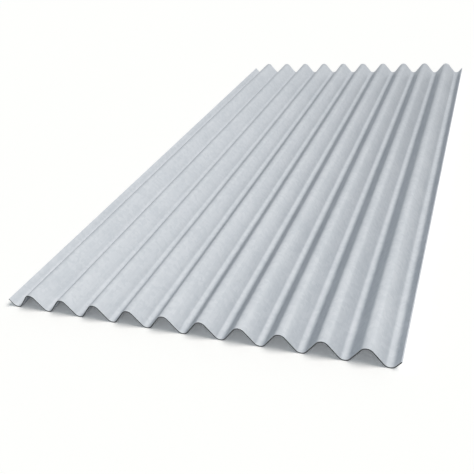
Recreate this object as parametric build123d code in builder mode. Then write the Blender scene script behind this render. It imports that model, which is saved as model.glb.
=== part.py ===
from build123d import *
import math
import os

# Corrugated steel sheet, rolled from one flat strip into even rounded waves.
# X runs across the waves, Y along them and Z up. The origin is in the middle of the sheet,
# on the level that the undersides of the valleys rest on.

# Driving dimensions in millimetres
SHEET_LENGTH = 1600.0
SHEET_THICKNESS = 2.5
WAVE_PITCH = 76.2  # from one crest to the next
WAVE_DEPTH = 35.0  # from the underside of a valley to the top of a crest
BEND_RADIUS = 11.5  # inside of each bend
CREST_COUNT = 10  # both long edges turn up beside an outer valley

# The bends and the straight flanks between them, found on the middle of the sheet's thickness
half_pitch = WAVE_PITCH / 2
middle_depth = WAVE_DEPTH - SHEET_THICKNESS
middle_radius = BEND_RADIUS + SHEET_THICKNESS / 2
bend_reach = 2 * middle_radius
bend_rise = bend_reach - middle_depth
flank_angle = math.asin(bend_reach / math.hypot(half_pitch, bend_rise)) - math.atan2(bend_rise, half_pitch)
flank_length = (half_pitch - bend_reach * math.sin(flank_angle)) / math.cos(flank_angle)
bend_turn = 2 * math.degrees(flank_angle)

# Each long edge is cut half way up a flank, a quarter of a pitch past the outer valley
edge_to_edge = (CREST_COUNT + 0.5) * WAVE_PITCH
falling = (math.cos(flank_angle), -math.sin(flank_angle))
left_edge = (
    -edge_to_edge / 2 - SHEET_THICKNESS / 2 * math.sin(flank_angle),
    WAVE_DEPTH / 2 - SHEET_THICKNESS / 2 * math.cos(flank_angle),
)


def draw_valley(start):
    """Bends the underside up through a valley, away from the end of the falling flank."""
    return JernArc(start @ 1, start % 1, BEND_RADIUS + SHEET_THICKNESS, bend_turn)


def draw_crest(start):
    """Runs the underside from a valley up a flank, over a crest and down the next flank."""
    rising_flank = PolarLine(start @ 1, flank_length, direction=start % 1)
    crest = JernArc(rising_flank @ 1, rising_flank % 1, BEND_RADIUS, -bend_turn)
    return PolarLine(crest @ 1, flank_length, direction=crest % 1)


with BuildPart() as corrugated_sheet:
    with BuildSketch(Plane.XZ) as wave_section:
        with BuildLine() as underside:
            falling_flank = PolarLine(left_edge, flank_length / 2, direction=falling)
            valley = draw_valley(falling_flank)
            for crest_number in range(CREST_COUNT):
                falling_flank = draw_crest(valley)
                valley = draw_valley(falling_flank)
            PolarLine(valley @ 1, flank_length / 2, direction=valley % 1)
            offset(amount=SHEET_THICKNESS, side=Side.LEFT)
        make_face()
    extrude(amount=SHEET_LENGTH / 2, both=True)

os.makedirs("parts", exist_ok=True)
corrugated_sheet.part.label = "corrugated_sheet"
export_step(corrugated_sheet.part, "parts/corrugated_sheet.step")
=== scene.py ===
import math

import bpy
import numpy as np
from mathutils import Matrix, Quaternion, Vector, noise


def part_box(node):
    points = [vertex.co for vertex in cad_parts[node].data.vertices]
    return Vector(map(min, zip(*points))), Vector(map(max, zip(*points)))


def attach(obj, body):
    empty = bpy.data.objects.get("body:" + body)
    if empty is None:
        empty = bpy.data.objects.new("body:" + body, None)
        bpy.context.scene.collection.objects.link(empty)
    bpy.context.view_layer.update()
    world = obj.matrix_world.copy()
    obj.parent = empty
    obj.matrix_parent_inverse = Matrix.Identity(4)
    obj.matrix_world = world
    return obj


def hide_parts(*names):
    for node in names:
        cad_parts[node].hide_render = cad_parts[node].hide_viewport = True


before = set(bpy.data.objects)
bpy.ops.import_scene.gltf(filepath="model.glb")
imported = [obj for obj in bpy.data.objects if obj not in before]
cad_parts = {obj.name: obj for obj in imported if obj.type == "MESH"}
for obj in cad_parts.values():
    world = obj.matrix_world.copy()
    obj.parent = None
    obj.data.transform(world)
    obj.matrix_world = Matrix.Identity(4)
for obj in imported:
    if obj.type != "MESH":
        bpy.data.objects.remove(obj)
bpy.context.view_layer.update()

# Driving dimensions in metres, with the length from the frame
NODE = "corrugated_sheet"
sheet_low, sheet_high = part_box(NODE)
SHEET_LENGTH = sheet_high.y - sheet_low.y
SHEET_THICKNESS = 0.0025
WAVE_PITCH = 0.0762
WAVE_DEPTH = 0.035
BEND_RADIUS = 0.0115
CREST_COUNT = 10

# How finely the sheet is meshed, and the angle from which an edge shows as sharp
BEND_STEPS = 12
FLANK_STEPS = 5
LENGTH_STEPS = 96
SHARP_ANGLE = math.radians(30)

# Marks of rolling and cutting, in metres
EDGE_BREAK = 0.00025
ROLLING_WANDER = 0.00035
WANDER_ACROSS = 0.060
WANDER_ALONG = 0.240

# Finish of the zinc coating, with the sizes of its marks in metres.
# A share is how much of a mark goes into the coating's tone, or into its roughness.
ZINC_COOL = (0.595, 0.632, 0.675, 1.0)
ZINC_PALE = (0.695, 0.726, 0.765, 1.0)
ZINC_METALLIC = 0.5
ZINC_SPECULAR = 0.3
ZINC_EDGE = (0.08, 0.10, 0.13, 1.0)
ZINC_ROUGH_LOW = 0.28
ZINC_ROUGH_HIGH = 0.42
TONE_LOW = 0.3
TONE_HIGH = 0.7
CLOUD_SIZE = 0.110
CLOUD_DETAIL = 4.0
SPANGLE_SIZE = 0.008
SPANGLE_WARP = 0.003
SPANGLE_WARP_DETAIL = 2.0
SPANGLE_TILT = 0.03
SPANGLE_SHARE = 0.38
SPANGLE_ROUGH_SHARE = 0.4
ROLLER_LINE_SIZE = (0.0024, 0.200, 0.0024)
ROLLER_LINE_DETAIL = 3.0
ROLLER_LINE_DEPTH = 0.00002
ROLLER_LINE_SHARE = 0.32

# Sheared steel of the cut ends: a burnished strip under the upper face, and rough torn steel below it. Both
# are painted near black, which is partly painted shade standing in for the dark shadowed band under the cut
# ends.
# The strip fades out between its end and the torn start, in a depth that the shear lines blur.
BURNISHED_COLOUR_WITH_PAINTED_SHADE = (0.060, 0.064, 0.064, 1.0)
BURNISHED_END = 0.30
BURNISHED_ROUGH = 0.45
TORN_COLOUR_WITH_PAINTED_SHADE = (0.012, 0.015, 0.015, 1.0)
TORN_START = 0.50
TORN_ROUGH = 0.85
SHEAR_LINE_SIZE = (0.0004, 0.0004, 0.010)
SHEAR_LINE_DETAIL = 3.0
SHEAR_LINE_SHARE = 0.3
BARE_SPECULAR = 0.2
DEPTH_IN_SHEET = "depth_in_sheet"

# Camera of the photograph: it stands to the right of the near end and is held a little askew
EYE = Vector((0.4836, -1.5820, 0.7391))
AIM = Vector((-0.0088, -0.4784, 0.0184))
ROLL = math.radians(7.09)
LENS = 47.04
SENSOR = 36.0
SIGHT_LIMIT = 100.0

# Studio: a white floor and backdrop, a cool light from all round and a warm key from above and the right.
# The metal mirrors the white backdrop and not the key, so it shows no glare from any side.
FLOOR_SIZE = 40.0
FLOOR_COLOUR = (0.95, 0.95, 0.95, 1.0)
FLOOR_LIFT = 0.10
BACKDROP_COLOUR = (1.0, 1.0, 1.0, 1.0)
SKY_COLOUR = (0.84, 0.95, 1.0, 1.0)
SKY_LIGHT = 0.34
KEY_COLOUR = (1.0, 0.95, 0.90)
KEY_POWER = 2.4
KEY_PLACE = (0.58, 0.12, 1.0)
KEY_SPREAD = math.radians(35)


def section_points():
    """The middle of the sheet's thickness across the waves: x, z and the heading at each point."""
    half_pitch = WAVE_PITCH / 2
    middle_radius = BEND_RADIUS + SHEET_THICKNESS / 2
    bend_reach = 2 * middle_radius
    bend_rise = bend_reach - (WAVE_DEPTH - SHEET_THICKNESS)
    centre_distance = math.hypot(half_pitch, bend_rise)
    flank_angle = math.asin(bend_reach / centre_distance) - math.atan2(bend_rise, half_pitch)
    flank_length = (half_pitch - bend_reach * math.sin(flank_angle)) / math.cos(flank_angle)

    points = [(-(CREST_COUNT + 0.5) * half_pitch, WAVE_DEPTH / 2, -flank_angle)]

    def go_straight(length, heading, steps):
        x, z, _ = points[-1]
        for step in range(1, steps + 1):
            run = length * step / steps
            points.append((x + run * math.cos(heading), z + run * math.sin(heading), heading))

    def bend(side):
        """Turns up through a valley with side 1, or over a crest with side -1."""
        x, z, heading = points[-1]
        centre_x = x - side * middle_radius * math.sin(heading)
        centre_z = z + side * middle_radius * math.cos(heading)
        for step in range(1, BEND_STEPS + 1):
            turned = heading + side * 2 * flank_angle * step / BEND_STEPS
            points.append((
                centre_x + side * middle_radius * math.sin(turned),
                centre_z - side * middle_radius * math.cos(turned),
                turned,
            ))

    go_straight(EDGE_BREAK, -flank_angle, 1)
    go_straight(flank_length / 2 - EDGE_BREAK, -flank_angle, FLANK_STEPS)
    bend(1)
    for _ in range(CREST_COUNT):
        go_straight(flank_length, flank_angle, FLANK_STEPS)
        bend(-1)
        go_straight(flank_length, -flank_angle, FLANK_STEPS)
        bend(1)
    go_straight(flank_length / 2 - EDGE_BREAK, flank_angle, FLANK_STEPS)
    go_straight(EDGE_BREAK, flank_angle, 1)
    return np.array(points)


def length_stations():
    """Places along the sheet, with a narrow first and last step for the broken edges of the cut ends."""
    half = SHEET_LENGTH / 2
    inner = np.linspace(-half + EDGE_BREAK, half - EDGE_BREAK, LENGTH_STEPS + 1)
    return np.concatenate([[-half], inner, [half]])


def sheet_grids():
    """The corners of the upper and lower faces, as two grids indexed by place along and place across."""
    section = section_points()
    along = length_stations()
    across_count, along_count = len(section), len(along)
    normals = np.stack([-np.sin(section[:, 2]), np.cos(section[:, 2])], axis=1)
    half_thickness = np.full((along_count, across_count), SHEET_THICKNESS / 2)
    half_thickness[[0, -1], :] -= EDGE_BREAK
    half_thickness[:, [0, -1]] -= EDGE_BREAK
    # Both lines above take from the four corners, so one share is given back
    half_thickness[[0, 0, -1, -1], [0, -1, 0, -1]] += EDGE_BREAK

    # The wander grows with height, so that the valleys stay on the floor
    wander = np.zeros((along_count, across_count))
    for i, y in enumerate(along):
        for j, (x, z, _) in enumerate(section):
            height_share = z / WAVE_DEPTH
            place = Vector((x / WANDER_ACROSS, y / WANDER_ALONG, 0.0))
            wander[i, j] = ROLLING_WANDER * height_share * noise.noise(place)

    def face(side):
        offset = wander + side * half_thickness
        x = section[:, 0] + offset * normals[:, 0]
        z = section[:, 1] + offset * normals[:, 1]
        y = np.repeat(along[:, None], across_count, axis=1)
        return np.stack([x, y, z], axis=2)

    return face(1), face(-1)


def grid_faces(first, rows, columns, flip):
    """The four-sided faces of a grid of corners numbered row by row from first."""
    faces = []
    for i in range(rows - 1):
        for j in range(columns - 1):
            a = first + i * columns + j
            corners = (a, a + 1, a + columns + 1, a + columns)
            faces.append(corners[::-1] if flip else corners)
    return faces


def make_sheet(zinc, cut_end_steel_and_shade):
    """One closed mesh: an upper and a lower face, joined by a rim. Only the cut ends are bare steel,
    painted near black as partly painted shade.
    """
    upper, lower = sheet_grids()
    rows, columns, _ = upper.shape
    count = rows * columns
    corners = np.concatenate([upper.reshape(-1, 3), lower.reshape(-1, 3)])

    faces = grid_faces(0, rows, columns, False) + grid_faces(count, rows, columns, True)
    near_end = list(range(columns))
    right_edge = [row * columns + columns - 1 for row in range(1, rows)]
    far_end = [(rows - 1) * columns + column for column in range(columns - 2, -1, -1)]
    left_edge = [row * columns for row in range(rows - 2, 0, -1)]
    rim = near_end + right_edge + far_end + left_edge
    for here, after in zip(rim, rim[1:] + rim[:1]):
        faces.append((here, here + count, after + count, after))

    mesh = bpy.data.meshes.new("corrugated_sheet_skin")
    mesh.from_pydata(corners.tolist(), [], faces)
    mesh.materials.append(zinc)
    mesh.materials.append(cut_end_steel_and_shade)

    row_of_corner = np.tile(np.repeat(np.arange(rows), columns), 2)
    for polygon in mesh.polygons:
        rows_touched = row_of_corner[list(polygon.vertices)]
        polygon.material_index = int(rows_touched.max() == 0 or rows_touched.min() == rows - 1)
        polygon.use_smooth = True
    mesh.set_sharp_from_angle(angle=SHARP_ANGLE)

    # 0 on the upper face and 1 on the lower one
    depth = mesh.attributes.new(DEPTH_IN_SHEET, "FLOAT", "POINT")
    depth.data.foreach_set("value", np.repeat([0.0, 1.0], count))

    sheet = bpy.data.objects.new("corrugated_sheet_skin", mesh)
    bpy.context.scene.collection.objects.link(sheet)
    return sheet


def new_material(name):
    """A new material, with its nodes, its links, its shader and the place on the object."""
    material = bpy.data.materials.new(name)
    material.use_nodes = True
    nodes = material.node_tree.nodes
    place = nodes.new("ShaderNodeTexCoord").outputs["Object"]
    return material, nodes, material.node_tree.links, nodes["Principled BSDF"], place


def add_noise(nodes, links, place, size, detail):
    """Noise whose spots have the given size along each axis."""
    scaled = nodes.new("ShaderNodeMapping")
    scaled.inputs["Scale"].default_value = [1 / length for length in size]
    links.new(place, scaled.inputs["Vector"])
    texture = nodes.new("ShaderNodeTexNoise")
    texture.inputs["Scale"].default_value = 1.0
    texture.inputs["Detail"].default_value = detail
    links.new(scaled.outputs["Vector"], texture.inputs["Vector"])
    return texture


def add_vector_sum(nodes, links, vector, factor, offset):
    """A vector times a number, plus another vector or a constant."""
    total = nodes.new("ShaderNodeVectorMath")
    total.operation = "MULTIPLY_ADD"
    links.new(vector, total.inputs[0])
    total.inputs[1].default_value = (factor, factor, factor)
    if isinstance(offset, tuple):
        total.inputs[2].default_value = offset
    else:
        links.new(offset, total.inputs[2])
    return total.outputs["Vector"]


def add_blend(nodes, links, first, second, share):
    """Two numbers blended, with the given share of the second."""
    blend = nodes.new("ShaderNodeMix")
    blend.inputs["Factor"].default_value = share
    links.new(first, blend.inputs["A"])
    links.new(second, blend.inputs["B"])
    return blend.outputs["Result"]


def add_ramp(nodes, links, value, low, low_colour, high, high_colour):
    """A colour that runs from one to another as a number goes from low to high."""
    ramp = nodes.new("ShaderNodeValToRGB")
    for element, position, colour in zip(ramp.color_ramp.elements, (low, high), (low_colour, high_colour)):
        element.position = position
        element.color = colour
    links.new(value, ramp.inputs["Fac"])
    return ramp.outputs["Color"]


def zinc_material():
    """Satin zinc coating: pale grey clouds, a faint spangle of crystals and fine lines from the rollers."""
    material, nodes, links, shader, place = new_material("zinc_coating")
    clouds = add_noise(nodes, links, place, (CLOUD_SIZE,) * 3, CLOUD_DETAIL)
    roller_lines = add_noise(nodes, links, place, ROLLER_LINE_SIZE, ROLLER_LINE_DETAIL)

    warp = add_noise(nodes, links, place, (SPANGLE_SIZE,) * 3, SPANGLE_WARP_DETAIL)
    warped_place = add_vector_sum(nodes, links, warp.outputs["Color"], SPANGLE_WARP, place)
    crystals = nodes.new("ShaderNodeTexVoronoi")
    crystals.inputs["Scale"].default_value = 1 / SPANGLE_SIZE
    links.new(warped_place, crystals.inputs["Vector"])
    crystal_tone = nodes.new("ShaderNodeSeparateColor")
    links.new(crystals.outputs["Color"], crystal_tone.inputs["Color"])

    tone = add_blend(nodes, links, clouds.outputs["Fac"], crystal_tone.outputs["Red"], SPANGLE_SHARE)
    tone = add_blend(nodes, links, tone, roller_lines.outputs["Fac"], ROLLER_LINE_SHARE)
    colour = add_ramp(nodes, links, tone, TONE_LOW, ZINC_COOL, TONE_HIGH, ZINC_PALE)
    links.new(colour, shader.inputs["Base Color"])

    shader.inputs["Metallic"].default_value = ZINC_METALLIC
    shader.inputs["Specular IOR Level"].default_value = ZINC_SPECULAR
    shader.inputs["Specular Tint"].default_value = ZINC_EDGE
    roughness = nodes.new("ShaderNodeMapRange")
    roughness.inputs["To Min"].default_value = ZINC_ROUGH_LOW
    roughness.inputs["To Max"].default_value = ZINC_ROUGH_HIGH
    grain = add_blend(nodes, links, tone, crystal_tone.outputs["Green"], SPANGLE_ROUGH_SHARE)
    links.new(grain, roughness.inputs["Value"])
    links.new(roughness.outputs["Result"], shader.inputs["Roughness"])

    middle = -SPANGLE_TILT / 2
    lean = add_vector_sum(nodes, links, crystals.outputs["Color"], SPANGLE_TILT, (middle, middle, middle))
    surface = nodes.new("ShaderNodeNewGeometry")
    leaned = add_vector_sum(nodes, links, surface.outputs["Normal"], 1.0, lean)
    facet = nodes.new("ShaderNodeVectorMath")
    facet.operation = "NORMALIZE"
    links.new(leaned, facet.inputs[0])
    relief = nodes.new("ShaderNodeBump")
    relief.inputs["Distance"].default_value = ROLLER_LINE_DEPTH
    links.new(roller_lines.outputs["Fac"], relief.inputs["Height"])
    links.new(facet.outputs["Vector"], relief.inputs["Normal"])
    links.new(relief.outputs["Normal"], shader.inputs["Normal"])
    return material


def cut_end_steel_and_painted_shade_material():
    """Sheared steel of the cut ends, smoother where the blade rubbed it. Its near-black colour is partly
    painted shade.
    """
    material, nodes, links, shader, place = new_material("sheared_steel_and_painted_shade")
    depth = nodes.new("ShaderNodeAttribute")
    depth.attribute_name = DEPTH_IN_SHEET
    shear_lines = add_noise(nodes, links, place, SHEAR_LINE_SIZE, SHEAR_LINE_DETAIL)
    zone = add_blend(nodes, links, depth.outputs["Fac"], shear_lines.outputs["Fac"], SHEAR_LINE_SHARE)
    # Both colours are near black: the burnished and torn zones are real, and their darkness is partly
    # painted shade for the band under the cut ends.
    colour = add_ramp(nodes, links, zone, BURNISHED_END, BURNISHED_COLOUR_WITH_PAINTED_SHADE, TORN_START, TORN_COLOUR_WITH_PAINTED_SHADE)
    links.new(colour, shader.inputs["Base Color"])
    shader.inputs["Specular IOR Level"].default_value = BARE_SPECULAR
    roughness = nodes.new("ShaderNodeMapRange")
    roughness.inputs["To Min"].default_value = BURNISHED_ROUGH
    roughness.inputs["To Max"].default_value = TORN_ROUGH
    links.new(zone, roughness.inputs["Value"])
    links.new(roughness.outputs["Result"], shader.inputs["Roughness"])
    return material


def seen_directly(nodes, links):
    """1 where a thing is seen by the camera, mirrored or through glass, and 0 where it gives light."""
    path = nodes.new("ShaderNodeLightPath")
    total = nodes.new("ShaderNodeMath")
    total.operation = "ADD"
    links.new(path.outputs["Is Camera Ray"], total.inputs[0])
    links.new(path.outputs["Is Glossy Ray"], total.inputs[1])
    capped = nodes.new("ShaderNodeMath")
    capped.operation = "ADD"
    capped.use_clamp = True
    links.new(total.outputs["Value"], capped.inputs[0])
    links.new(path.outputs["Is Transmission Ray"], capped.inputs[1])
    return capped.outputs["Value"]


def make_floor():
    """A pale floor that keeps the sheet's shadow and reads as white."""
    half = FLOOR_SIZE / 2
    mesh = bpy.data.meshes.new("floor")
    corners = [(-half, -half, 0), (half, -half, 0), (half, half, 0), (-half, half, 0)]
    mesh.from_pydata(corners, [], [(0, 1, 2, 3)])
    material = bpy.data.materials.new("pale_floor")
    material.use_nodes = True
    nodes, links = material.node_tree.nodes, material.node_tree.links
    nodes.clear()
    paint = nodes.new("ShaderNodeBsdfDiffuse")
    paint.inputs["Color"].default_value = FLOOR_COLOUR
    glow = nodes.new("ShaderNodeEmission")
    scaled = nodes.new("ShaderNodeMath")
    scaled.operation = "MULTIPLY"
    scaled.inputs[1].default_value = FLOOR_LIFT
    links.new(seen_directly(nodes, links), scaled.inputs[0])
    links.new(scaled.outputs["Value"], glow.inputs["Strength"])
    total = nodes.new("ShaderNodeAddShader")
    links.new(paint.outputs["BSDF"], total.inputs[0])
    links.new(glow.outputs["Emission"], total.inputs[1])
    out = nodes.new("ShaderNodeOutputMaterial")
    links.new(total.outputs["Shader"], out.inputs["Surface"])
    mesh.materials.append(material)
    floor = bpy.data.objects.new("floor", mesh)
    bpy.context.scene.collection.objects.link(floor)


def make_world():
    """White where it is seen or mirrored, and otherwise a soft cool light from all round."""
    world = bpy.data.worlds.new("studio")
    world.use_nodes = True
    nodes, links = world.node_tree.nodes, world.node_tree.links
    sky = nodes["Background"]
    sky.inputs["Color"].default_value = SKY_COLOUR
    sky.inputs["Strength"].default_value = SKY_LIGHT
    backdrop = nodes.new("ShaderNodeBackground")
    backdrop.inputs["Color"].default_value = BACKDROP_COLOUR
    chosen = nodes.new("ShaderNodeMixShader")
    links.new(seen_directly(nodes, links), chosen.inputs["Fac"])
    links.new(sky.outputs["Background"], chosen.inputs[1])
    links.new(backdrop.outputs["Background"], chosen.inputs[2])
    links.new(chosen.outputs["Shader"], nodes["World Output"].inputs["Surface"])
    bpy.context.scene.world = world


def make_key_light():
    """One broad soft light, above and to the right. It lights surfaces and isn't mirrored in them."""
    lamp = bpy.data.lights.new("key_light", "SUN")
    lamp.energy = KEY_POWER
    lamp.color = KEY_COLOUR
    lamp.angle = KEY_SPREAD
    holder = bpy.data.objects.new("key_light", lamp)
    holder.rotation_mode = "QUATERNION"
    holder.rotation_quaternion = (-Vector(KEY_PLACE)).to_track_quat("-Z", "Y")
    holder.visible_glossy = False
    bpy.context.scene.collection.objects.link(holder)


def make_camera():
    """The photograph's camera, turned about its own axis by the tilt it was held at."""
    data = bpy.data.cameras.new("photo_camera")
    data.lens = LENS
    data.sensor_width = SENSOR
    data.clip_end = SIGHT_LIMIT
    camera = bpy.data.objects.new("photo_camera", data)
    camera.location = EYE
    camera.rotation_mode = "QUATERNION"
    camera.rotation_quaternion = (AIM - EYE).to_track_quat("-Z", "Y") @ Quaternion((0, 0, 1), -ROLL)
    bpy.context.scene.collection.objects.link(camera)
    bpy.context.scene.camera = camera


make_camera()
sheet = make_sheet(zinc_material(), cut_end_steel_and_painted_shade_material())
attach(sheet, "root")
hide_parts(NODE)
make_floor()
make_world()
make_key_light()
bpy.context.scene.view_settings.view_transform = "Standard"
